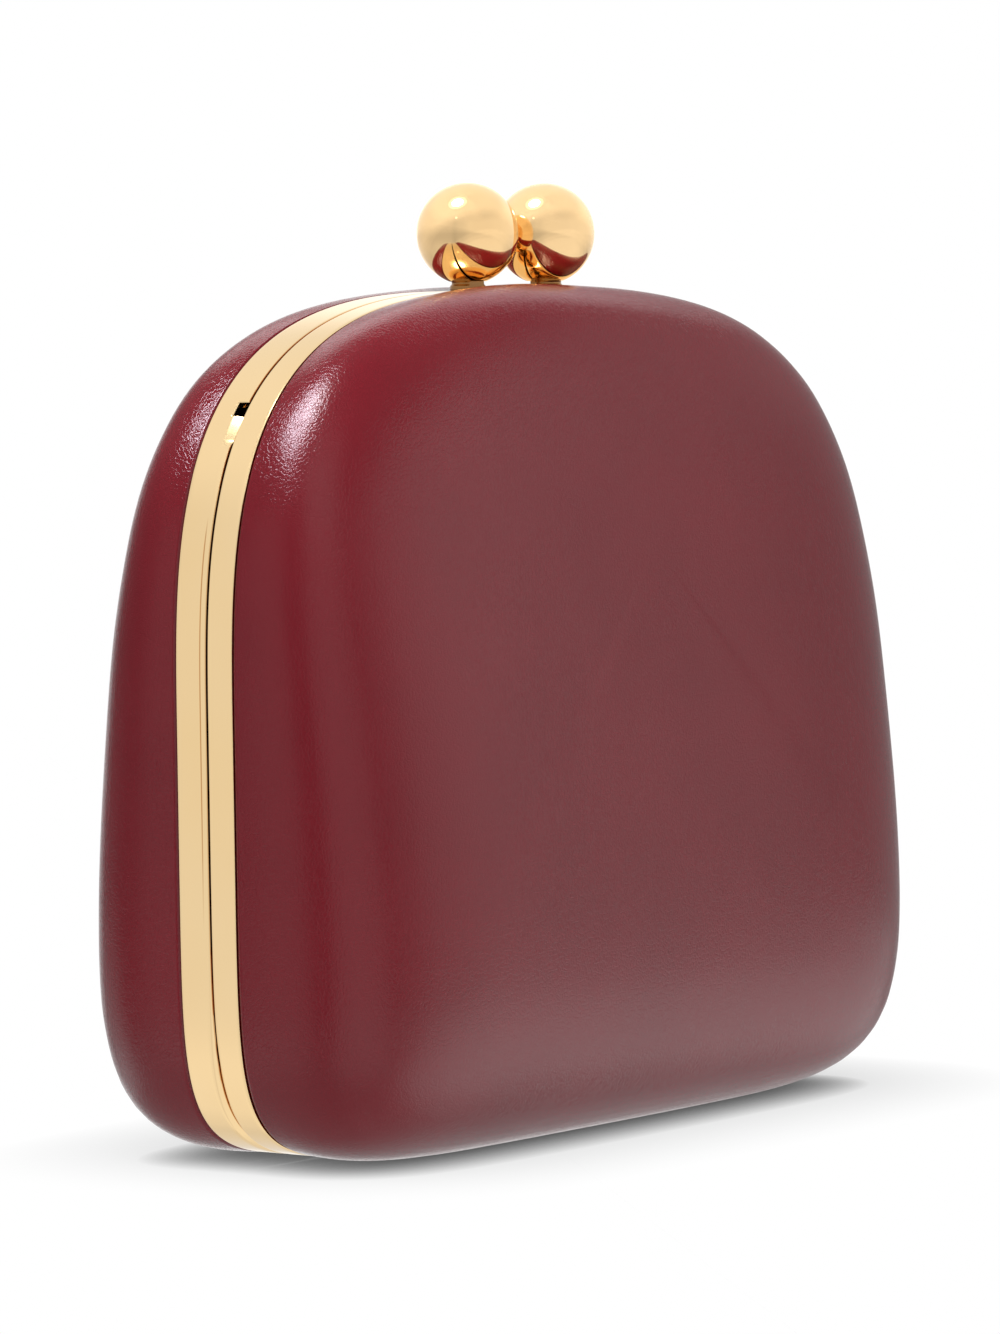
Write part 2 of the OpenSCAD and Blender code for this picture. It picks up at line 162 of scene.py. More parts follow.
camera_data = bpy.data.cameras.new("portrait_lens")
camera_data.sensor_width = SENSOR
camera_data.lens = PIXELS_PER_MM * CAMERA_AWAY / PHOTO_TALL * SENSOR
camera_data.clip_start, camera_data.clip_end = NEAREST, FARTHEST
camera = bpy.data.objects.new("portrait_camera", camera_data)
bpy.context.scene.collection.objects.link(camera)
place = (AIM - ahead * CAMERA_AWAY) * MM
camera.matrix_world = Matrix([
    (right[0], up[0], -ahead[0], place[0]),
    (right[1], up[1], -ahead[1], place[1]),
    (right[2], up[2], -ahead[2], place[2]),
    (0, 0, 0, 1)])
bpy.context.scene.camera = camera
print("lens", round(camera_data.lens, 1), "mm, camera at", [round(v, 3) for v in place])

# %% [markdown]
# Nearly all painting of light and surface below is done with shader nodes. Two helpers keep it short: one
# makes a node, sets it up and joins its inputs, and the other does a step of arithmetic.

# %% Make a node
def node_in(tree, kind, inputs=(), **settings):
    """A new node with its settings made, and each input given a value or joined to an output."""
    node = tree.nodes.new("ShaderNode" + kind)
    for name, value in settings.items():
        setattr(node, name, value)
    for socket, value in dict(inputs).items():
        if isinstance(value, bpy.types.NodeSocket):
            tree.links.new(value, node.inputs[socket])
        else:
            node.inputs[socket].default_value = value
    return node


def maths_in(tree, operation, a, b=0.0):
    return node_in(tree, "Math", {0: a, 1: b}, operation=operation).outputs["Value"]


# %% [markdown]
# Polished metal and waxed calf show whatever stands round them, so most of the light's design is what
# they mirror. The room is a white tent: even for the camera and for matt surfaces, while the rays that
# mirror off the bag see its walls as they are, brightest at the back right, middling across the front and
# dim at the left and behind. The levels round the room are listed by compass angle, once each for the
# walls, the ceiling and the floor. Many small lamps would give the gilt hard spots.

# %% What the room looks like, by angle from the front of the bag
WALL_LEVELS = [(-180, 0.22), (-152, 0.22), (-132, 0.26), (-108, 0.26), (-94, 0.25), (-83, 0.19),
               (-71, 0.24), (-44, 0.35), (-8, 0.35), (20, 0.38), (50, 0.42), (66, 0.43), (84, 0.42),
               (100, 0.36), (114, 0.50), (128, 0.62), (144, 0.45), (160, 0.24), (180, 0.22)]
CEILING_LEVELS = [(-180, 0.36), (-110, 0.38), (-40, 0.34), (0, 0.26), (60, 0.26), (120, 0.32), (180, 0.36)]
FLOOR_LEVELS = [(-180, 0.26), (-150, 0.34), (-128, 0.37), (-95, 0.30), (-83, 0.20), (-70, 0.30),
                (-44, 0.36), (30, 0.38), (62, 0.32), (90, 0.26), (130, 0.20), (160, 0.18), (180, 0.26)]
WALL_TOP, CEILING_START = 0.34, 0.66
WALL_FOOT, FLOOR_START = -0.10, -0.42
DOME_LEVEL = 0.55
WHITE = (1, 1, 1, 1)


def levels_round(tree, angle_share, levels):
    ramp = node_in(tree, "ValToRGB", {0: angle_share})
    ramp.color_ramp.interpolation = "EASE"
    stops = ramp.color_ramp.elements
    for i, (angle, level) in enumerate(levels):
        share = (angle + 180) / 360
        # a new ramp comes with two stops
        stop = stops[i] if i < 2 else stops.new(share)
        stop.position = share
        stop.color = (level, level, level, 1)
    return ramp.outputs["Color"]


# %% World
world = bpy.data.worlds.new("white_tent")
bpy.context.scene.world = world
world.use_nodes = True
tree = world.node_tree
tree.nodes.clear()
path = node_in(tree, "LightPath")
split = node_in(tree, "SeparateXYZ", {0: node_in(tree, "TexCoord").outputs["Generated"]})
front = maths_in(tree, "MULTIPLY", split.outputs["Y"], -1.0)
turn = maths_in(tree, "ARCTAN2", split.outputs["X"], front)
turn_share = node_in(tree, "MapRange", {"Value": turn, "From Min": -math.pi, "From Max": math.pi})
walls, ceiling, floor_shine = [levels_round(tree, turn_share.outputs["Result"], levels)
                               for levels in (WALL_LEVELS, CEILING_LEVELS, FLOOR_LEVELS)]


def blend_by_height(from_z, to_z, under, over):
    height = node_in(tree, "MapRange", {"Value": split.outputs["Z"], "From Min": from_z, "From Max": to_z},
                     interpolation_type="SMOOTHSTEP")
    mix = node_in(tree, "Mix", {"Factor": height.outputs["Result"], "A": under, "B": over}, data_type="RGBA")
    return mix.outputs["Result"]


low_room = blend_by_height(FLOOR_START, WALL_FOOT, floor_shine, walls)
whole_room = blend_by_height(WALL_TOP, CEILING_START, low_room, ceiling)
room = node_in(tree, "Background", {"Color": whole_room})
dome = node_in(tree, "Background", {"Color": WHITE, "Strength": DOME_LEVEL})
white = node_in(tree, "Background", {"Color": WHITE})
mirrored = node_in(tree, "MixShader", {0: path.outputs["Is Glossy Ray"], 1: dome.outputs[0],
                                       2: room.outputs[0]})
seen = maths_in(tree, "MAXIMUM", path.outputs["Is Camera Ray"], path.outputs["Is Transmission Ray"])
backdrop = node_in(tree, "MixShader", {0: seen, 1: mirrored.outputs[0], 2: white.outputs[0]})
node_in(tree, "OutputWorld", {"Surface": backdrop.outputs[0]})
print("room levels:", len(WALL_LEVELS), "on the walls,", len(CEILING_LEVELS), "on the ceiling")

# %% [markdown]
# A round softbox high at the left, with a fainter glow round it, lights the top and gives the balls and
# the shoulders their highlight, and a small lamp adds a second glint. Two wide soft suns, one from the
# front and one from high at the left, even the light on both faces that are seen. They are kept out of
# reflections, where they would be discs. Cards seen only by the leather or only by the gilt come last,
# once those pieces exist: a photographer hangs such cards close to the metal to keep it pale, and further
# off for the waxed calf, whose dark gaps give it depth.

# %% Lamps
BAG_MIDDLE = Vector((0, 0, 0.08))


def at_angles(turn_deg, rise_deg):
    """A direction by its angle from the bag's front, to the right, and its angle above the floor."""
    t, r = math.radians(turn_deg), math.radians(rise_deg)
    return Vector((math.sin(t) * math.cos(r), -math.cos(t) * math.cos(r), math.sin(r)))


def hang_lamp(name, kind, toward_lamp, away=1.0):
    data = bpy.data.lights.new(name, kind)
    lamp = bpy.data.objects.new(name, data)
    bpy.context.scene.collection.objects.link(lamp)
    lamp.location = BAG_MIDDLE + toward_lamp * away
    lamp.rotation_mode = "QUATERNION"
    lamp.rotation_quaternion = toward_lamp.to_track_quat("Z", "Y")
    return lamp, data


def softbox(name, toward_lamp, away, wide, tall, brightness, round_shape=False):
    """An area lamp that shows a given brightness in a mirror."""
    lamp, data = hang_lamp(name, "AREA", toward_lamp, away)
    data.shape = "ELLIPSE" if round_shape else "RECTANGLE"
    data.size, data.size_y = wide, tall
    area = wide * tall * (math.pi / 4 if round_shape else 1)
    data.energy = brightness * math.pi * area
    return lamp


HIGH_LEFT = at_angles(-106, 70)
# name, direction, distance and size in metres, brightness in a mirror
for name, way, away, size, brightness in (("softbox_top", HIGH_LEFT, 1.0, 0.34, 10.0),
                                          ("softbox_glow", HIGH_LEFT, 1.02, 0.55, 0.5),
                                          ("small_lamp", at_angles(-82, 38), 1.0, 0.07, 1.2)):
    softbox(name, way, away, size, size, brightness, round_shape=True)

# name, direction, strength and how many degrees of sky it fills
plain_suns = []
for name, way, strength, spread in (("even_key", at_angles(-36, 42), 0.60, 50),
                                    ("even_top", at_angles(-92, 66), 1.20, 60)):
    sun, sun_data = hang_lamp(name, "SUN", way)
    sun_data.energy, sun_data.angle = strength, math.radians(spread)
    sun.visible_glossy = False
    plain_suns.append(sun)
print(len(plain_suns), "suns and 3 round softboxes over the bag")

# %% [markdown]
# The bag stands on a plain white floor. For the light on the bag it is a real matt surface. The camera
# sees it as a clear film over the white backdrop, darkened softly where the bag shuts out the sky: a paper
# sweep with a contact shadow and no horizon. A clear film also leaves the front half in view when it swings
# open below the floor. Mirrors see the room's own levels instead, because a real floor would draw a hard
# line round the balls.

# %% Floor
FLOOR_HALF, FLOOR_PALE, FLOOR_VARIES, SPECKS_PER_M = 6.0, 0.36, 0.02, 3.0
FLOOR_GAP, SHADOW_SAMPLES, MOST_DARK = 0.0002, 16, 0.96
CONTACT_REACH, CONTACT_DARK, WIDE_REACH, WIDE_DARK = 0.007, 0.60, 0.031, 0.40
SKY_TURN, SKY_RISE = -70, 60


def openness(tree, reach):
    """How open the side of the sky that lights the floor is, from 0 to 1, within reach of a place."""
    sky_way = node_in(tree, "CombineXYZ", zip("XYZ", at_angles(SKY_TURN, SKY_RISE)))
    node = node_in(tree, "AmbientOcclusion", {"Distance": reach, "Normal": sky_way.outputs["Vector"]},
                   samples=SHADOW_SAMPLES)
    return node.outputs["AO"]


floor_material = bpy.data.materials.new("white_floor")
floor_material.use_nodes = True
tree = floor_material.node_tree
tree.nodes.clear()
path = node_in(tree, "LightPath")
speck = node_in(tree, "TexNoise", {"Scale": SPECKS_PER_M})
shade = node_in(tree, "MapRange", {"Value": speck.outputs["Fac"], "To Min": FLOOR_PALE,
                                   "To Max": FLOOR_PALE + FLOOR_VARIES})
tint = node_in(tree, "CombineColor", {c: shade.outputs["Result"] for c in ("Red", "Green", "Blue")})
matt = node_in(tree, "BsdfDiffuse", {"Color": tint.outputs["Color"]})
shut = [maths_in(tree, "MULTIPLY", maths_in(tree, "SUBTRACT", 1.0, openness(tree, reach)), dark)
        for reach, dark in ((CONTACT_REACH, CONTACT_DARK), (WIDE_REACH, WIDE_DARK))]
shadow = maths_in(tree, "MINIMUM", maths_in(tree, "ADD", *shut), MOST_DARK)
clear = node_in(tree, "BsdfTransparent")
black = node_in(tree, "Emission", {"Strength": 0.0})
film = node_in(tree, "MixShader", {0: shadow, 1: clear.outputs[0], 2: black.outputs[0]})
for_camera = node_in(tree, "MixShader", {0: path.outputs["Is Camera Ray"], 1: matt.outputs[0],
                                         2: film.outputs[0]})
node_in(tree, "OutputMaterial", {"Surface": for_camera.outputs[0]})

floor_mesh = bpy.data.meshes.new("floor")
corners = [(x * FLOOR_HALF, y * FLOOR_HALF, 0) for x, y in ((-1, -1), (1, -1), (1, 1), (-1, 1))]
floor_mesh.from_pydata(corners, [], [(0, 1, 2, 3)])
floor_mesh.materials.append(floor_material)
floor = bpy.data.objects.new("floor", floor_mesh)
bpy.context.scene.collection.objects.link(floor)
floor.location.z = -FLOOR_GAP
floor.visible_glossy = False

# %% [markdown]
# Every finish is a node material. A small helper starts a Principled material and hands back its node
# tree, so that each finish below reads as a short recipe: what is constant is written on the shader's own
# socket, and what varies over the surface comes from noise or a pattern at the real scale.

# %% Start a finish
SHADER = "Principled BSDF"


def start_finish(name, **constants):
    material = bpy.data.materials.new(name)
    material.use_nodes = True
    shader = material.node_tree.nodes[SHADER]
    for socket, value in constants.items():
        shader.inputs[socket.replace("_", " ")].default_value = value
    return material, material.node_tree, shader


def place_in(tree, scale=(1, 1, 1)):
    """Object coordinates in millimetres, stretched if asked."""
    where = node_in(tree, "TexCoord").outputs["Object"]
    mapping = node_in(tree, "Mapping", {"Scale": tuple(s / MM for s in scale), "Vector": where})
    return mapping.outputs["Vector"]


def noise_in(tree, coords, size_mm, detail=3.0, rough=0.5):
    node = node_in(tree, "TexNoise", {"Scale": 1 / size_mm, "Detail": detail, "Roughness": rough,
                                      "Vector": coords})
    return node.outputs["Fac"]


def spread_in(tree, value, low, high, from_low=0.3, from_high=0.7):
    node = node_in(tree, "MapRange", {"Value": value, "From Min": from_low, "From Max": from_high,
                                      "To Min": low, "To Max": high})
    return node.outputs["Result"]


def mixed_in(tree, share, colour, other):
    """A colour, fixed or from a node, that turns into another, fixed one by a share from 0 to 1."""
    if isinstance(colour, tuple):
        colour = (*colour, 1)
    node = node_in(tree, "Mix", {"Factor": share, "A": colour, "B": (*other, 1)}, data_type="RGBA")
    return node.outputs["Result"]


def bump_in(tree, height, depth_mm, strength=1.0, under=None):
    inputs = {"Strength": strength, "Distance": depth_mm * MM, "Height": height}
    if under is not None:
        inputs["Normal"] = under
    return node_in(tree, "Bump", inputs).outputs["Normal"]


# %% [markdown]
# The metal is a pale gilt plate, polished on the balls and the bands. A perfect mirror looks like a
# computer's idea of gold, so the polish varies a little, the finest hairlines run along the band, and the
# tone drifts slightly warmer in patches, as plate does with handling. Where gilt faces gilt across the
# seam it mirrors itself brown, and that reflection and shade are painted into its colour; painted shade
# darkens the fine line scribed along the back band too. The feet of the balls sit in shade, which is
# painted into their plate as the darkest gilt.

# %% Gilt finishes
GILT_PALE, GILT_WARM = (0.960, 0.680, 0.365), (0.940, 0.640, 0.315)
BAND_PALE, BAND_WARM = (0.965, 0.720, 0.405), (0.950, 0.690, 0.365)
# the feet's plate colours are darkened and browned by painted shade
FOOT_SHADED_PALE, FOOT_SHADED_WARM = (0.36, 0.19, 0.07), (0.28, 0.14, 0.05)
DRIFT_MM, PATCH_MM, HAIR_MM, HAIR_STRENGTH = 28, 9, 0.35, 0.5
# painted reflection and shade: the brown put on the seam walls and into the scribed line
SEAM_SHADE_COLOUR, SEAM_SHADE_SHARE, SEAM_SHADE_SPAN = (0.55, 0.25, 0.075), 0.85, (0.24, 0.38)
# the scribed line: its place, the share of painted shade in it, and the heights it runs between
SCRIBE_Y, SCRIBE_SHADE, SCRIBE_FOOT, SCRIBE_HEAD = 1.36, 0.85, (42, 64), (108, 113)
SCRIBE_SHADE_FADE = (0.07, 0.17)


def gilt_finish(name, rough_low, rough_high, hairline_depth, stretch=(1, 1, 1), pale=GILT_PALE,
                warm=GILT_WARM, seam_shade=0.0):
    """Its last argument is the share of painted brown reflection and shade on the walls of the seam, which
    lies in the plane y = 0.
    """
    material, tree, shader = start_finish(name, Metallic=1.0)
    coords = place_in(tree)
    drift = noise_in(tree, coords, DRIFT_MM, detail=2)
    gilt = mixed_in(tree, spread_in(tree, drift, 0, 1), pale, warm)
    # painted shade: brown where gilt mirrors gilt across the seam, and darker in the scribed line
    if seam_shade:
        parts = node_in(tree, "SeparateXYZ", {0: coords}).outputs
        from_seam = maths_in(tree, "ABSOLUTE", parts["Y"])
        gilt = mixed_in(tree, spread_in(tree, from_seam, seam_shade, 0, *SEAM_SHADE_SPAN), gilt, SEAM_SHADE_COLOUR)
        # painted shade in the scribed groove, faded out at its foot and head
        off_scribe = maths_in(tree, "ABSOLUTE", maths_in(tree, "SUBTRACT", parts["Y"], SCRIBE_Y))
        line = spread_in(tree, off_scribe, SCRIBE_SHADE, 0, *SCRIBE_SHADE_FADE)
        foot = spread_in(tree, parts["Z"], 0, 1, *SCRIBE_FOOT)
        head = spread_in(tree, parts["Z"], 1, 0, *SCRIBE_HEAD)
        line = maths_in(tree, "MULTIPLY", line, maths_in(tree, "MULTIPLY", foot, head))
        gilt = mixed_in(tree, line, gilt, SEAM_SHADE_COLOUR)
    tree.links.new(gilt, shader.inputs["Base Color"])
    patch = noise_in(tree, coords, PATCH_MM, detail=4)
    tree.links.new(spread_in(tree, patch, rough_low, rough_high), shader.inputs["Roughness"])
    hair = noise_in(tree, place_in(tree, stretch), HAIR_MM, detail=2)
    tree.links.new(bump_in(tree, hair, hairline_depth, HAIR_STRENGTH), shader.inputs["Normal"])
    return material


# name, the roughness from and to, the depth of the hairlines in mm and how they are stretched
gilt_ball = gilt_finish("gilt_mirror", 0.045, 0.080, 0.0001)
# the bands carry the painted brown shade on their seam walls
gilt_band = gilt_finish("gilt_band", 0.09, 0.15, 0.0012, (1, 4, 1), BAND_PALE, BAND_WARM, SEAM_SHADE_SHARE)
gilt_inner = gilt_finish("gilt_inner", 0.22, 0.34, 0.004, (1, 6, 1))
gilt_small = gilt_finish("gilt_fittings", 0.14, 0.26, 0.003)
# painted shade: the feet's gilt is made darker and browner for the shade they sit in
gilt_foot_shaded = gilt_finish("gilt_foot_shaded", 0.20, 0.30, 0.002, pale=FOOT_SHADED_PALE, warm=FOOT_SHADED_WARM)

# %% [markdown]
# The cover is smooth burgundy calf. Its grain is a fine net of creases about three quarters of a
# millimetre apart over smaller pebbles, on a surface that waves very slightly. The dye is a little uneven,
# and painted shade darkens it in a narrow line where the cover is turned in at the frame. The thin wax
# finish has a broad soft gloss, with more polish close to the frame, where the cover is pressed down over
# the rim.

# %% Leather finish
DYE_DEEP, DYE_BRIGHT = (0.152, 0.0066, 0.0130), (0.174, 0.0086, 0.0158)
# the colour and share of the painted shade at the rim, and how wide it runs, then the rim's extra polish
RIM_SHADE_COLOUR, RIM_SHADE_SHARE, RIM_SHADE_WIDE, RIM_POLISH = (0.050, 0.005, 0.006), 0.45, 0.55, 0.5
RIM_SHADE_START, POLISH_FADE, WAX_ROUGH = 0.1, (1.0, 9.0), (0.15, 0.20)
DYE_MM, GLOSS_MM, WAVE_MM, WAVE_DEPTH, WAVE_STRENGTH = 34, 5, 16, 0.06, 0.5
CREASE_MM, CREASE_WIDE, CREASE_SHARE = 0.75, 0.16, 0.55
WANDER_MM, WANDER_BY, PEBBLE_MM, GRAIN_DEPTH, GRAIN_STRENGTH = 1.6, 0.9, 0.55, 0.046, 0.7


def leather_finish(name, rim_y):
    """rim_y is how far from the seam, in mm, the cover meets its frame."""
    material, tree, shader = start_finish(name, Specular_IOR_Level=0.34)
    coords = place_in(tree)
    dye = noise_in(tree, coords, DYE_MM, detail=3, rough=0.45)
    dyed = mixed_in(tree, spread_in(tree, dye, 0, 1), DYE_DEEP, DYE_BRIGHT)
    parts = node_in(tree, "SeparateXYZ", {0: coords}).outputs
    from_rim = maths_in(tree, "SUBTRACT", maths_in(tree, "ABSOLUTE", parts["Y"]), rim_y)
    # painted shade: the dye darkens just past the rim, in the gap where the cover meets the frame
    rim_shade = spread_in(tree, from_rim, RIM_SHADE_SHARE, 0, RIM_SHADE_START, RIM_SHADE_WIDE)
    tree.links.new(mixed_in(tree, rim_shade, dyed, RIM_SHADE_COLOUR), shader.inputs["Base Color"])
    wander = node_in(tree, "TexNoise", {"Scale": 1 / WANDER_MM, "Vector": coords})
    shifted = node_in(tree, "VectorMath", {0: wander.outputs["Color"], 1: (WANDER_BY,) * 3, 2: coords},
                      operation="MULTIPLY_ADD")
    creases = node_in(tree, "TexVoronoi", {"Scale": 1 / CREASE_MM, "Randomness": 1.0,
                                           "Vector": shifted.outputs["Vector"]}, feature="DISTANCE_TO_EDGE")
    net = spread_in(tree, creases.outputs["Distance"], 0, 1, 0.0, CREASE_WIDE)
    pebble = noise_in(tree, coords, PEBBLE_MM, detail=3, rough=0.6)
    height = maths_in(tree, "ADD", maths_in(tree, "MULTIPLY", net, CREASE_SHARE), pebble)
    waves = noise_in(tree, coords, WAVE_MM, detail=2, rough=0.4)
    waves = bump_in(tree, waves, WAVE_DEPTH, WAVE_STRENGTH)
    tree.links.new(bump_in(tree, height, GRAIN_DEPTH, GRAIN_STRENGTH, waves), shader.inputs["Normal"])
    rough = spread_in(tree, noise_in(tree, coords, GLOSS_MM), *WAX_ROUGH)
    polish = spread_in(tree, from_rim, RIM_POLISH, 1, *POLISH_FADE)
    tree.links.new(maths_in(tree, "MULTIPLY", rough, polish), shader.inputs["Roughness"])
    return material


BACK_EDGE, FRONT_EDGE, GLUE = 6.7, 5.5, 0.15
leathers = {half: leather_finish(f"burgundy_calf_{half}", edge + GLUE)
            for half, edge in (("back", BACK_EDGE), ("front", FRONT_EDGE))}

# %% [markdown]
# Inside, the bag is lined in a suede-like cloth in a slightly lighter burgundy: matt, with a nap that
# catches the light at its edges. Under the cover lie a thin foam and a moulded board, which show only in
# a cut, but they get their own finishes too.

# %% Lining, foam and board finishes
SUEDE_DEEP, SUEDE_BRIGHT = (0.140, 0.016, 0.022), (0.205, 0.030, 0.037)
SUEDE_SHEEN = (0.95, 0.62, 0.62, 1)
NAP_MM, FIBRE_MM, FIBRE_DEPTH, FIBRE_STRENGTH = 7, 0.22, 0.09, 0.6
SUEDE_ROUGH, LAYER_ROUGH = (0.82, 0.97), (0.7, 0.9)


def suede_finish():
    material, tree, shader = start_finish("suede_lining", Sheen_Weight=0.55, Sheen_Roughness=0.45,
                                          Sheen_Tint=SUEDE_SHEEN, Specular_IOR_Level=0.15)
    coords = place_in(tree)
    nap = spread_in(tree, noise_in(tree, coords, NAP_MM, detail=4, rough=0.6), 0, 1)
    tree.links.new(mixed_in(tree, nap, SUEDE_DEEP, SUEDE_BRIGHT), shader.inputs["Base Color"])
    fibre = noise_in(tree, coords, FIBRE_MM, detail=3, rough=0.7)
    tree.links.new(spread_in(tree, fibre, *SUEDE_ROUGH), shader.inputs["Roughness"])
    tree.links.new(bump_in(tree, fibre, FIBRE_DEPTH, FIBRE_STRENGTH), shader.inputs["Normal"])
    return material


def plain_layer_finish(name, first, second, grain_mm, depth_mm):
    material, tree, shader = start_finish(name, Specular_IOR_Level=0.2)
    grain = noise_in(tree, place_in(tree), grain_mm, detail=4, rough=0.6)
    tree.links.new(mixed_in(tree, spread_in(tree, grain, 0, 1), first, second), shader.inputs["Base Color"])
    tree.links.new(spread_in(tree, grain, *LAYER_ROUGH), shader.inputs["Roughness"])
    tree.links.new(bump_in(tree, grain, depth_mm), shader.inputs["Normal"])
    return material


suede = suede_finish()
foam = plain_layer_finish("thin_foam", (0.62, 0.60, 0.52), (0.72, 0.70, 0.62), 0.5, 0.08)
board = plain_layer_finish("moulded_board", (0.30, 0.25, 0.18), (0.40, 0.34, 0.26), 1.2, 0.03)

# %% [markdown]
# Each half shell is a dome: it rises steeply from the frame, swells a little past it as the padded cover
# does, and rounds over into a broad face that leans back towards the top. It could be sculpted, but one
# formula for the profile gives the cover, the foam, the board and the lining as nested layers.

# %% The dome's profile
SHELL_DEPTH, DEEPEST_Z, CROWN_DROP, SIDE_DROP = 41.1, 5.7, 20.9, 1.2
FACE_Z, FACE_POWER, WALL_POWER = 105, 5.85, 2.7
CROWN_CURVE = CROWN_DROP / (FRAME_H - DEEPEST_Z) ** 2
SIDE_CURVE = SIDE_DROP / HALF_W ** 2


def hump(at, height, centre, width):
    return height * np.exp(-((at - centre) / width) ** 2)


def step_up(at, low, high):
    """A smooth step from 0 to 1 between two places."""
    t = np.clip((at - low) / (high - low), 0, 1)
    return t * t * (3 - 2 * t)


# %% How far the cover swells past the frame, as humps of (height, centre, width) in millimetres
SWELL, FOOT_SWELL, FOOT_FADE, CROWN_BLEND = 1.7, 1.1, (2, 16), (122, 138)
BACK_HUMPS = [(0.9, 0, 15), (-0.95, 36, 20), (0.35, 74, 10)]
FRONT_HUMPS, FRONT_SHOULDER = [(1.55, -18, 27), (-0.75, 37, 18)], (0.30, 77, 8)
SIDE_HUMPS = [(0.55, 47, 22), (-0.45, 104, 13)]


def swell_at(x, z, side):
    """How far the padded cover stands out past the frame: fuller low down, tighter above the middle."""
    wide = np.abs(x)
    if side > 0:
        crown = sum(hump(wide, *h) for h in BACK_HUMPS)
    else:
        crown = sum(hump(x, *h) for h in FRONT_HUMPS) + hump(wide, *FRONT_SHOULDER)
    wall = sum(hump(z, *h) for h in SIDE_HUMPS)
    on_top = step_up(z, *CROWN_BLEND)
    return SWELL + crown * on_top + wall * (1 - on_top) + FOOT_SWELL * (1 - step_up(z, *FOOT_FADE))


# %% Where the rings of the dome lie: close together at the rim, then wider apart
RIM_STEP, FACE_STEP, STEP_GROWTH = 0.16, 2.4, 1.13
TYPICAL_REACH, TYPICAL_DEPTH, RISE_POINTS = 80, 35, 4001


def profile_stations():
    """The rings' shares of the rise, and how far each lies from the rim along a typical wall, in mm."""
    rise = np.linspace(0, 1, RISE_POINTS)
    share = (1 - rise ** WALL_POWER) ** (1 / FACE_POWER)
    steps = np.hypot(np.diff(share * TYPICAL_REACH), np.diff(rise * TYPICAL_DEPTH))
    run = np.concatenate([[0], np.cumsum(steps)])
    marks, step, at = [0.0], RIM_STEP, 0.0
    while at + step < run[-1] - FACE_STEP:
        at += step
        marks.append(at)
        step = min(step * STEP_GROWTH, FACE_STEP)
    marks = np.array(marks)
    return np.interp(marks, run, rise), marks


# %% Points of a dome
BASE_LIFT, LIFT_RUN, LIFT_FADE, FOOT_SOFT = 1.3, (9, 34), (3, 26), 0.35


def lift_at(y, foot_z):
    """How far the underside of a cover rises as it leaves the frame, in mm."""
    return BASE_LIFT * step_up(y, *LIFT_RUN) * (1 - step_up(foot_z, *LIFT_FADE))


def dome_points(angles, rise, inset, base_y, side, tuck=None):
    """Rows of dome points, one row for each share of the rise; tuck insets each row a little more."""
    share = (1 - rise ** WALL_POWER) ** (1 / FACE_POWER)
    rows = []
    for i in range(len(rise)):
        more = 0.0 if tuck is None else tuck[i]
        x0, z0 = outline_at(angles, inset + more)
        ax, az = x0, z0 - FACE_Z
        curl = 2 * math.sqrt(max(0, 1 - share[i] ** FACE_POWER)) * share[i] ** (FACE_POWER / 2)
        out = curl * swell_at(x0, z0, side) / np.hypot(ax, az)
        x, z = ax * share[i], FACE_Z + az * share[i]
        deep = SHELL_DEPTH - inset - CROWN_CURVE * (z - DEEPEST_Z) ** 2 - SIDE_CURVE * x ** 2
        y = base_y + (deep - base_y) * rise[i]
        low = z + az * out - inset + lift_at(y, z0)
        z = inset + 0.5 * (low + np.sqrt(low ** 2 + FOOT_SOFT ** 2))
        z = z - 0.5 * (np.sqrt(z0 ** 2 + FOOT_SOFT ** 2) - z0)
        rows.append(np.stack([x + ax * out, y, z], 1))
    return np.array(rows)


SHELL_COLUMNS = 288
shell_angles = angle_at_run((np.arange(SHELL_COLUMNS) + 0.5) / SHELL_COLUMNS * ROUND_LENGTH)
rise_marks, run_marks = profile_stations()
print("dome rings:", len(rise_marks), "of", SHELL_COLUMNS, "points")


# %% A closed layer between two insets
TUCK_RUN, LAYER_SHARP = 2.2, math.radians(60)


def shell_layer(name, body, side, outer, inner, base_y, material, slot, rim_round=0.0):
    """One nested layer of a half shell, closed at its rim; side is 1 at the back and -1 at the front."""
    tuck_run = TUCK_RUN * max(rim_round, 1e-6)
    tuck = rim_round * np.clip(1 - run_marks / tuck_run, 0, 1) ** 2
    skin = dome_points(shell_angles, rise_marks, outer, base_y, side, tuck)
    back = dome_points(shell_angles, rise_marks, inner, base_y, side)
    middle = [dome_points(shell_angles, np.array([1.0]), inset, base_y, side)[0].mean(0)
              for inset in (outer, inner)]
    n, rings = SHELL_COLUMNS, len(rise_marks)
    points = np.concatenate([skin.reshape(-1, 3), [middle[0]], back.reshape(-1, 3), [middle[1]]])
    second = rings * n + 1
    faces = grid_faces(rings, n)
    faces += [[(rings - 1) * n + j, rings * n, (rings - 1) * n + (j + 1) % n] for j in range(n)]
    faces += grid_faces(rings, n, first=second, flip=True)
    faces += [[second + (rings - 1) * n + (j + 1) % n, second + rings * n, second + (rings - 1) * n + j]
              for j in range(n)]
    faces += [[(j + 1) % n, second + (j + 1) % n, second + j, j] for j in range(n)]
    points[:, 1] *= side
    if side < 0:
        faces = [f[::-1] for f in faces]
    return make_piece(name, points, faces, material, body, LAYER_SHARP)


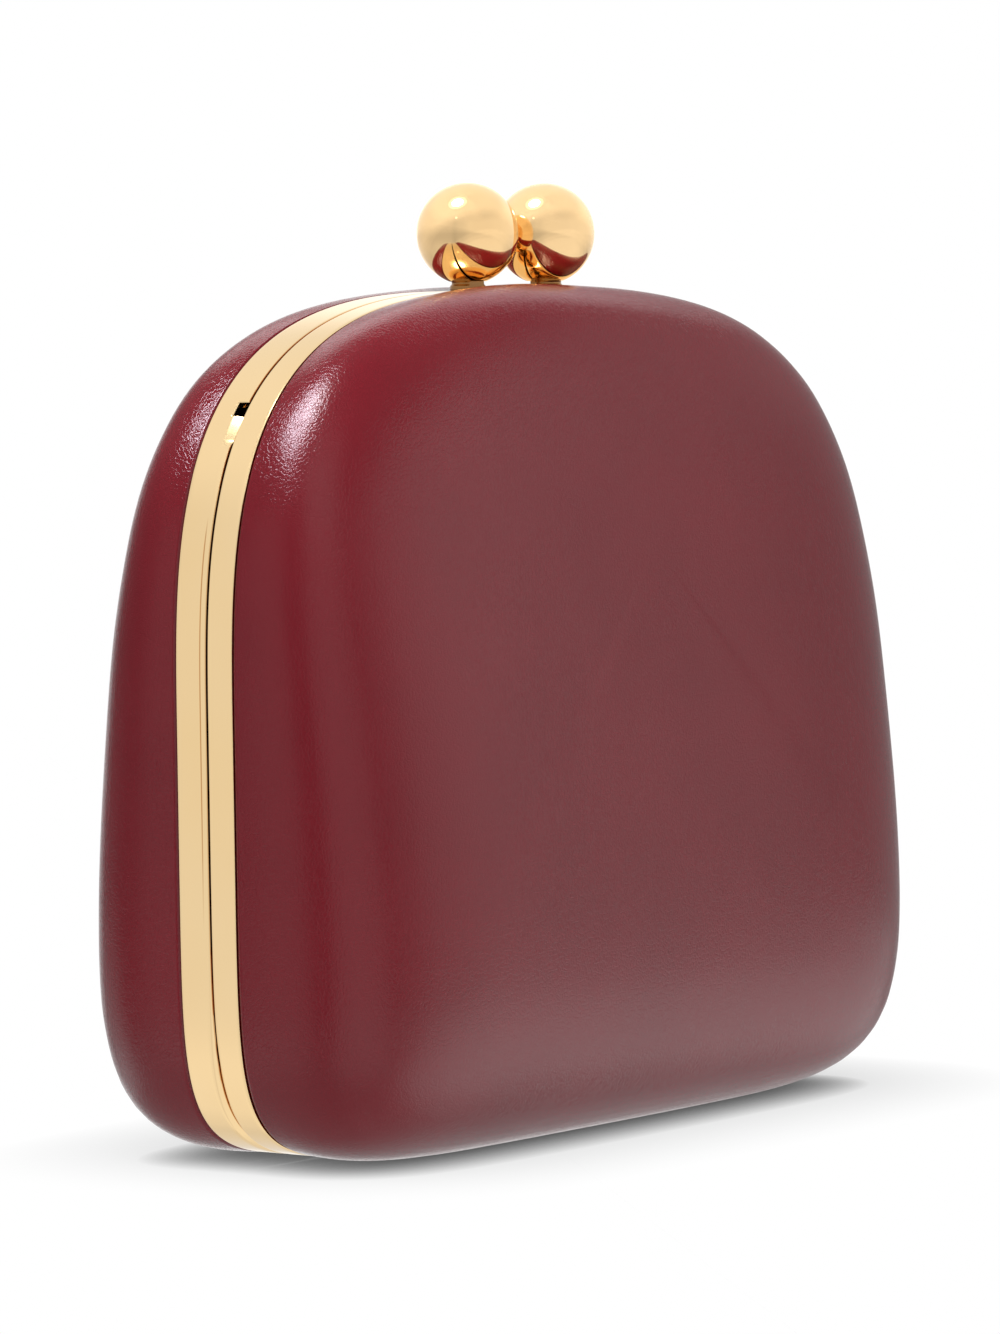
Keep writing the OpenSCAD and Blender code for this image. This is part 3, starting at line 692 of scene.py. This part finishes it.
# %% Covers, foams, boards and linings of both halves, by their outer and inner inset
COVER, FOAM, BOARD, SUEDE = (0.0, 1.0), (1.15, 2.15), (2.3, 4.1), (4.25, 5.05)
COVER_ROUND = 0.45
halves = {"back": ("back_half", 1, BACK_EDGE), "front": ("front_half", -1, FRONT_EDGE)}
for half, (body, side, edge) in halves.items():
    base = edge + GLUE
    cover = shell_layer(f"{half}_cover", body, side, *COVER, base, leathers[half], "leather", COVER_ROUND)
    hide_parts(f"{half}_leather")
    pad = shell_layer(f"{half}_foam", body, side, *FOAM, base, foam, "foam")
    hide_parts(f"{half}_padding")
    mould = shell_layer(f"{half}_board", body, side, *BOARD, base, board, "board")
    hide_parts(f"{half}_core")
    inside = shell_layer(f"{half}_suede", body, side, *SUEDE, base, suede, "suede")
    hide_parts(f"{half}_lining")
    print(half, "half: four layers, cover", len(cover.data.polygons), "faces")

# %% [markdown]
# Each half of the frame is one strip of brass: a flat outer band that shows all round, and a flange that
# turns inwards and carries the shell, the hinge and the lugs. A section is swept along the outline, point
# by point, which keeps the polished face free of facets. Cutting the holes with booleans would spoil the
# reflections next to them, so the section itself changes along the way: its seam side steps back at the
# chain slots, the hinge knuckles and the groove under the hinge, and flares a little at the crown and the
# lower corners. The back band also has a fine line scribed along its two sides.

# %% The section of a band
BAND_T, FLANGE_REACH, FLANGE_T, RIM_DEPTH, SEAM_Y = 1.5, 6.5, 1.0, 1.1, 0.15
SLOT_W, SLOT_L, SLOT_EDGE = 2.4, 3.0, 0.20
RELIEF_L, RELIEF_W, RELIEF_DEPTH, RELIEF_END = 6.2, 2.2, 0.62, 6
RELIEF_PAST, SCRIBE_DEPTH, SCRIBE_HALF, ROLL_POWER = 0.2, 0.09, 0.11, 0.55
HINGE_X, HINGE_Z, POCKET_HALF, POCKET_R, POCKET_SLACK = 40, 1.6, 10.65, 1.85, 0.05
GROOVE_TAN = math.tan(math.radians(51))
SEAM_ARCS = {True: (0.21, 0.12, 0.066, 0.034, 0.014, 0.004), False: (0.19, 0.10, 0.046, 0.018, 0.004, 0.0)}


def band_section(edge, lip):
    """The section as (depth under the outline, distance from the seam), anticlockwise from the seam."""
    flange = edge - RIM_DEPTH - FLANGE_T
    far = flange + FLANGE_T
    face = [(0.38, SEAM_Y)] + list(zip(SEAM_ARCS[lip], (0.17, 0.24, 0.34, 0.46, 0.62, 0.80)))
    flat = [0.97, 1.15, SCRIBE_Y - SCRIBE_HALF, SCRIBE_Y, SCRIBE_Y + SCRIBE_HALF, 1.6, 1.9, 2.2, 2.3, 2.42,
            2.7, 3.4, edge - 1.2, edge - 0.62]
    face += [(0.0, y) for y in flat]
    face += [(0.015, edge - 0.50), (0.06, edge - 0.32), (0.12, edge - 0.16), (0.19, edge - 0.05),
             (0.30, edge)]
    rest = [(BAND_T - 0.1, edge), (BAND_T, edge - 0.1), (BAND_T, far + 0.12), (BAND_T + 0.12, far),
            (FLANGE_REACH - 0.2, far), (FLANGE_REACH, far - 0.2), (FLANGE_REACH, flange + 0.2),
            (FLANGE_REACH - 0.2, flange), (BAND_T + 0.12, flange), (BAND_T, flange - 0.12)]
    rest += [(BAND_T, y) for y in (2.7, 2.42, 2.3, 0.3)] + [(BAND_T - 0.12, SEAM_Y)]
    return np.array(face + rest)


def rolled_edge(y, nx, nz, width, depth):
    """Where the bands turn under at the lower corners, their seam edges are rolled in to clear the hinge."""
    corner = max(0.0, 2 * abs(nx) * max(0.0, -nz)) ** ROLL_POWER
    across = np.clip(1 - (y - SEAM_Y) / width, 0, 1)
    return depth * corner * across ** 2


# %% Stations along a band, as the tape's reading and what the section does there
BAND_STEPS, SLOT_TURN, NUDGE = 720, 35.5, 1e-6
SLOT_CLEAR, POCKET_CLEAR = 8.2, 0.3
NEAR_SLOT = (-8.0, -6.5, -5, -3.5, -2.6, -1.78, -1.64, -1.5, 1.5, 1.64, 1.78, 2.2, 2.7, 3.2, 3.7, 4.2, 4.7,
             5.2, 5.7, 6.2, 6.6, 7.4, 8.0)
slot_run = {1: run_at_angle(math.radians(SLOT_TURN)), -1: run_at_angle(math.radians(180 - SLOT_TURN))}


def band_stations(with_slots):
    """Places along the band, with the pair of stations that a step in the section needs."""
    marks = [(r, None) for r in np.linspace(0, ROUND_LENGTH, BAND_STEPS, endpoint=False)]
    if with_slots:
        for way, at in slot_run.items():
            marks = [m for m in marks if abs(m[0] - at) > SLOT_CLEAR]
            marks += [(at - way * u, None) for u in NEAR_SLOT]
            marks += [(at - way * u, "slot") for u in (-SLOT_L / 2, 0.0, SLOT_L / 2)]
    for x in (middle + half for middle in (-HINGE_X, HINGE_X) for half in (-POCKET_HALF, POCKET_HALF)):
        bottom = np.mod(x, ROUND_LENGTH)
        marks = [m for m in marks if abs(m[0] - bottom) > POCKET_CLEAR]
        marks += [(bottom, None), (bottom, "pocket")]

    def order(mark):
        """A stepped section sorts a hair nearer to the middle of its slot or pocket."""
        run, kind = mark
        if kind is None:
            return run
        if kind == "slot":
            nearest = min(slot_run.values(), key=lambda s: abs(s - run))
            return run - math.copysign(NUDGE, run - nearest) * (run != nearest)
        x = run if run < ROUND_LENGTH / 2 else run - ROUND_LENGTH
        return run - math.copysign(NUDGE, x - math.copysign(HINGE_X, x))
    return sorted(marks, key=order)


# %% The section at every station
FACE_DEPTH = 0.5
CROWN_TURN, CROWN_TOP = (0.30, 0.50), (0.9, 0.99)
LIP_FROM, LIP_TO, LIP_CROWN = 0.17, 0.95, 0.7
BEVEL_W, BEVEL_SIDE, BEVEL_CROWN = 0.65, 0.75, 0.35
FLARE_W, FLARE_ALL, FLARE_TOP, FLARE_CORNER = 0.8, 0.05, 0.10, 0.14
CORNER_IN, CORNER_OUT = (0.02, 0.25), (0.85, 0.99)


def band_rows(section, with_slots, roll):
    """Section points at every station, in millimetres, for the back half's side of the seam."""
    rows = []
    from_seam = section[:, 1]
    for run, kind in band_stations(with_slots):
        angle = angle_at_run(run)
        px, pz = outline_at(angle)
        nx, nz = outward_at(angle)
        depth, y = section[:, 0].copy(), from_seam.copy()
        face = depth < FACE_DEPTH
        on_top = step_up(nz, *CROWN_TURN)
        lip = face & (y > LIP_FROM) & (y < LIP_TO)
        depth = np.where(lip, depth * (1 - LIP_CROWN * on_top), depth)
        edge_bevel = face & (y > from_seam.max() - BEVEL_W)
        depth = np.where(edge_bevel, depth * (BEVEL_SIDE - BEVEL_CROWN * on_top), depth)
        depth = np.where(face, depth + rolled_edge(y, nx, nz, *roll), depth)
        flare = FLARE_CORNER * step_up(-nz, *CORNER_IN) * (1 - step_up(-nz, *CORNER_OUT))
        flare += FLARE_ALL + FLARE_TOP * step_up(nz, *CROWN_TOP)
        y = y + flare * np.clip(1 - (y - SEAM_Y) / FLARE_W, 0, 1) * (depth < FACE_DEPTH)
        if with_slots:
            scribe = SCRIBE_DEPTH * step_up(pz, *SCRIBE_FOOT) * (1 - step_up(pz, *SCRIBE_HEAD))
            depth = depth + scribe * (face & (abs(from_seam - SCRIBE_Y) < SCRIBE_HALF / 2))
            way = 1 if px > 0 else -1
            down = -(run - slot_run[way]) * way
            near = np.maximum(np.maximum(abs(down) - SLOT_L / 2, from_seam - SLOT_W), 0)
            edge_cut = SLOT_EDGE * np.clip(1 - near / SLOT_EDGE, 0, 1)
            relief = np.zeros(len(y))
            if SLOT_L / 2 <= down <= SLOT_L / 2 + RELIEF_L + RELIEF_PAST:
                along = min(1.0, (down - SLOT_L / 2) / RELIEF_L)
                across = np.clip(1 - (from_seam - SEAM_Y) / (RELIEF_W - SEAM_Y), 0, 1)
                relief = RELIEF_DEPTH * min(1.0, RELIEF_END * (1 - along)) * across
            outer = depth < FACE_DEPTH
            depth = np.where(outer, np.maximum(depth, np.maximum(edge_cut, relief)), depth)
        if kind == "slot":
            y = np.maximum(y, SLOT_W)
        x, z = px - nx * depth, pz - nz * depth
        y = np.maximum(y, (HINGE_Z - z) * GROOVE_TAN)
        along = abs(abs(x) - HINGE_X)
        if z.min() < HINGE_Z + POCKET_R and (kind == "pocket" or along.max() < POCKET_HALF - POCKET_SLACK):
            pocket = np.sqrt(np.maximum(POCKET_R ** 2 - (z - HINGE_Z) ** 2, 0))
            y = np.where(z < HINGE_Z + POCKET_R, np.maximum(y, pocket), y)
        rows.append(np.stack([x, y, z], 1))
    return np.array(rows)


# %% Sweep the two bands
SMALLEST_FACE, WELD, BAND_SHARP = 1e-6, 2e-6, math.radians(24)
BACK_ROLL, FRONT_ROLL = (1.6, 0.95), (1.0, 0.55)


def sweep_band(name, body, side, section, with_slots, roll, node):
    rows = band_rows(section, with_slots, roll)
    count, columns = rows.shape[:2]
    points = rows.reshape(-1, 3)
    faces = []
    for face in grid_faces(count, columns, wrap_rows=True):
        p = points[face]
        area = np.linalg.norm(np.cross(p[2] - p[0], p[3] - p[1])) / 2
        if area > SMALLEST_FACE:
            faces.append(face)
    points = points * (1, side, 1)
    if side < 0:
        faces = [f[::-1] for f in faces]
    band = make_piece(name, points, faces, gilt_band, None, SMOOTH_ANGLE)
    work = band.data
    bm = bmesh.new()
    bm.from_mesh(work)
    bmesh.ops.remove_doubles(bm, verts=bm.verts, dist=WELD)
    bmesh.ops.recalc_face_normals(bm, faces=bm.faces)
    bm.to_mesh(work)
    bm.free()
    smooth_up_to(band, BAND_SHARP)
    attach(band, body)
    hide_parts(node)
    print(name, "has", len(work.polygons), "faces")


sweep_band("back_band", "back_half", 1, band_section(BACK_EDGE, True), True, BACK_ROLL, "back_frame")
sweep_band("front_band", "front_half", -1, band_section(FRONT_EDGE, False), False, FRONT_ROLL,
           "front_frame")

# %% [markdown]
# The clasp's two balls are turned and polished to a mirror, and each stands on a low foot on its own band.
# They are lathed here: a profile of radius against height is spun about the ball's axis, dense enough for
# clean reflections, with a small flat at the bottom where the ball meets its foot.

# %% Spin a profile
def spin(name, profile, centre, sides, material, body, node, flat_y=None, sharp=SMOOTH_ANGLE):
    """A profile of (radius, height) spun about an upright axis; flat_y cuts one side off at a plane."""
    turn = np.arange(sides) * 2 * np.pi / sides
    rows = []
    for radius, height in profile:
        x, y = centre[0] + radius * np.cos(turn), centre[1] + radius * np.sin(turn)
        if flat_y is not None:
            y = np.maximum(y, flat_y) if centre[1] > 0 else np.minimum(y, flat_y)
        rows.append(np.stack([x, y, np.full(sides, height)], 1))
    rows = np.array(rows)
    count = len(rows)
    points = np.concatenate([rows.reshape(-1, 3), [rows[0].mean(0), rows[-1].mean(0)]])
    faces = grid_faces(count, sides, flip=True)
    low, high = count * sides, count * sides + 1
    faces += [[low, (j + 1) % sides, j] for j in range(sides)]
    faces += [[high, (count - 1) * sides + j, (count - 1) * sides + (j + 1) % sides] for j in range(sides)]
    piece = make_piece(name, points, faces, material, body, sharp)
    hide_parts(node)


# %% The balls and their feet
BALL_R, COLLAR_R, COLLAR_H, SEAT_CUT = 9.25, 3.3, 1.6, 0.6
BALL_SIDES, BALL_RINGS, FOOT_SIDES = 144, 96, 72
BALL_SHARP, FOOT_SHARP, POLE_GAP = math.radians(50), math.radians(40), 0.02
BALL_Z = FRAME_H + COLLAR_H + BALL_R - SEAT_CUT
seat_angle = math.acos((BALL_R - SEAT_CUT) / BALL_R)
ball_profile = [(BALL_R * math.sin(a), BALL_Z - BALL_R * math.cos(a))
                for a in np.linspace(seat_angle, math.pi - POLE_GAP, BALL_RINGS)]
foot_turnings = [(0.12, 0), (0, 0.1), (0, 0.70), (0.10, 0.88), (0.30, 1.05), (0.36, 1.30), (0.30, 1.50),
                 (0.36, COLLAR_H)]
foot_profile = [(COLLAR_R - cut, FRAME_H + h) for cut, h in foot_turnings]
clasp_places = {"back": (-9.3, 2.2, "back_half", SEAM_Y), "front": (9.3, -1.6, "front_half", -SEAM_Y)}
for half, (x, y, body, flat) in clasp_places.items():
    spin(f"{half}_ball", ball_profile, (x, y), BALL_SIDES, gilt_ball, body, f"clasp_ball_{half}",
         sharp=BALL_SHARP)
    spin(f"{half}_foot", foot_profile, (x, y), FOOT_SIDES, gilt_foot_shaded, body, f"clasp_collar_{half}", flat,
         FOOT_SHARP)
print("balls", 2 * BALL_R, "mm across, tops at", round(BALL_Z + BALL_R, 1), "mm")

# %% [markdown]
# The hinge leaves, pins, rivets, screws, lugs and locating strips are right as the CAD has them. They keep
# their meshes and get the gilt of small fittings, or a rougher inner gilt for the strips, with a fine bevel
# so that their edges catch the light.

# %% Finish the small fittings
EDGE_BREAK, BREAK_FROM, FITTING_SHARP = 0.08, math.radians(40), math.radians(30)
fitting_words = ("hinge", "rivets", "lug", "screw", "strip", "pin")
fittings = [n for n in nodes if any(w in n for w in fitting_words)]
for name in fittings:
    piece = nodes[name]
    piece.data.materials.clear()
    piece.data.materials.append(gilt_inner if "strip" in name else gilt_small)
    smooth_up_to(piece, FITTING_SHARP)
    edges = piece.modifiers.new("fine_edges", "BEVEL")
    edges.width, edges.segments, edges.limit_method = EDGE_BREAK * MM, 2, "ANGLE"
    edges.angle_limit = BREAK_FROM
print(len(fittings), "small fittings keep their CAD shapes")

# %% [markdown]
# The last lights are cards that only one finish sees. The bands and fittings see an even white tent, which
# keeps them pale and free of dark patches. The balls mirror the whole room at once, so they have a tent of
# their own, tilted to be brighter on one side, and two patches of brighter sky in it. The calf sees a few
# large boards with gaps between them: the wide ones at the front right grey the whole front face, and the
# gaps draw the dark upright streaks down the side. One small lamp brightens its left shoulder and a glow
# from below lifts the turned-under edge, and both light the dye rather than the gloss.

# %% Groups of pieces that a light can be kept to
def gather(name, pieces):
    group = bpy.data.collections.new(name)
    for piece in pieces:
        group.objects.link(piece)
    return group


covers = [bpy.data.objects[f"{half}_cover"] for half in halves]
balls = [bpy.data.objects[f"{half}_ball"] for half in clasp_places]
gilt_pieces = [o for o in bpy.data.objects if o.type == "MESH" and o.data.materials
               and (o.data.materials[0].name or "").startswith("gilt")]
calf_only = gather("calf_only", covers)
balls_only = gather("balls_only", balls)
gilt_only = gather("gilt_only", [piece for piece in gilt_pieces if piece not in balls])
bag_only = gather("bag_only", covers + gilt_pieces)
for sun in plain_suns:
    sun.light_linking.blocker_collection = bag_only


def only_for(lamp, group, in_gloss=True):
    """Keep a lamp to one group of pieces, either in their reflections or else as plain light on them."""
    lamp.visible_diffuse, lamp.visible_glossy = not in_gloss, in_gloss
    lamp.light_linking.receiver_collection = group
    lamp.light_linking.blocker_collection = bag_only
    return lamp


def sky_for(name, toward_lamp, half_angle_deg, level, group, in_gloss=True):
    """A patch of even sky, of a brightness that a mirror shows, for one group of pieces only."""
    patch, patch_data = hang_lamp(name, "SUN", toward_lamp)
    patch_data.angle = 2 * math.radians(half_angle_deg)
    patch_data.energy = level * math.pi * math.sin(math.radians(half_angle_deg)) ** 2
    return only_for(patch, group, in_gloss)


# %% Skies for the gilt and for the balls
HALF_SKY, TENT_LEVEL, UNDER_LEVEL, PATCH_LEVEL = 90, 0.60, 0.13, 0.08
BALL_TURN, BALL_TILTS = 62, (2, 9, 16)
FRONT_PATCH, FRONT_HALF, FRONT_STEP = at_angles(-4, -60), 50, 9
BACK_PATCH, BACK_HALF, BACK_STEP = at_angles(155, 54), 70, 7
sky_for("gilt_tent_over", Vector((0, 0, 1)), HALF_SKY, TENT_LEVEL, gilt_only)
sky_for("gilt_tent_under", Vector((0, 0, -1)), HALF_SKY, TENT_LEVEL, gilt_only)
for step, tilt in enumerate(BALL_TILTS):
    over, under = at_angles(BALL_TURN, 90 - tilt), at_angles(BALL_TURN - 180, tilt - 90)
    sky_for(f"ball_tent_over_{step}", over, HALF_SKY, TENT_LEVEL / len(BALL_TILTS), balls_only)
    sky_for(f"ball_tent_under_{step}", under, HALF_SKY, UNDER_LEVEL, balls_only)
    sky_for(f"ball_sky_front_{step}", FRONT_PATCH, FRONT_HALF + FRONT_STEP * step, PATCH_LEVEL, balls_only)
    sky_for(f"ball_sky_back_{step}", BACK_PATCH, BACK_HALF + BACK_STEP * step, PATCH_LEVEL, balls_only)
print("skies: 2 for the gilt,", 4 * len(BALL_TILTS), "for the balls")

# %% Plain light for the calf, and the boards that it mirrors
SHOULDER_AWAY, SHOULDER_SIZE, SHOULDER_LEVEL = 0.32, 0.12, 2.7
BOUNCE_HALF, BOUNCE_LEVEL = 30, 1.50
shoulder = softbox("shoulder_light", at_angles(-62, 63), SHOULDER_AWAY, SHOULDER_SIZE, SHOULDER_SIZE,
                   SHOULDER_LEVEL)
only_for(shoulder, calf_only, in_gloss=False)
sky_for("floor_bounce", at_angles(16, -68), BOUNCE_HALF, BOUNCE_LEVEL, calf_only, in_gloss=False)

BOARD_AWAY, COOL = 1.2, (0.93, 0.87, 1.0)
# name, turn and rise in degrees, width and height in metres, brightness in a mirror
CALF_BOARDS = [("front_left", 24, -8, 1.53, 1.80, 0.42),
               ("front_right", 34, -8, 1.02, 1.80, 0.43),
               ("front_low", 34, -36, 1.20, 0.80, 0.46),
               ("floor", 0, -89, 8.0, 8.0, 0.38),
               ("camera_side", -45, -10, 1.20, 1.25, 0.58),
               ("left", -113, -2, 0.80, 1.10, 0.42),
               ("right", 76, -21, 0.60, 0.50, 0.62),
               ("right_high", 66, 24, 0.55, 0.36, 0.22),
               ("back_low", -172, -20, 0.70, 0.46, 0.50),
               ("back", 142, -6, 0.90, 0.90, 0.40),
               ("high", -42, 36, 0.90, 0.60, 0.74),
               ("behind", 120, 45, 1.30, 0.50, 1.35),
               ("shoulder", -122, 61, 0.60, 0.60, 19.0)]
for name, board_turn, board_rise, wide, tall, brightness in CALF_BOARDS:
    way = at_angles(board_turn, board_rise)
    card = only_for(softbox(f"board_{name}", way, BOARD_AWAY, wide, tall, brightness), calf_only)
    if name == "shoulder":
        card.data.color = COOL
print("cards:", len(CALF_BOARDS), "boards,", len(covers), "covers,", len(gilt_pieces), "gilt pieces")
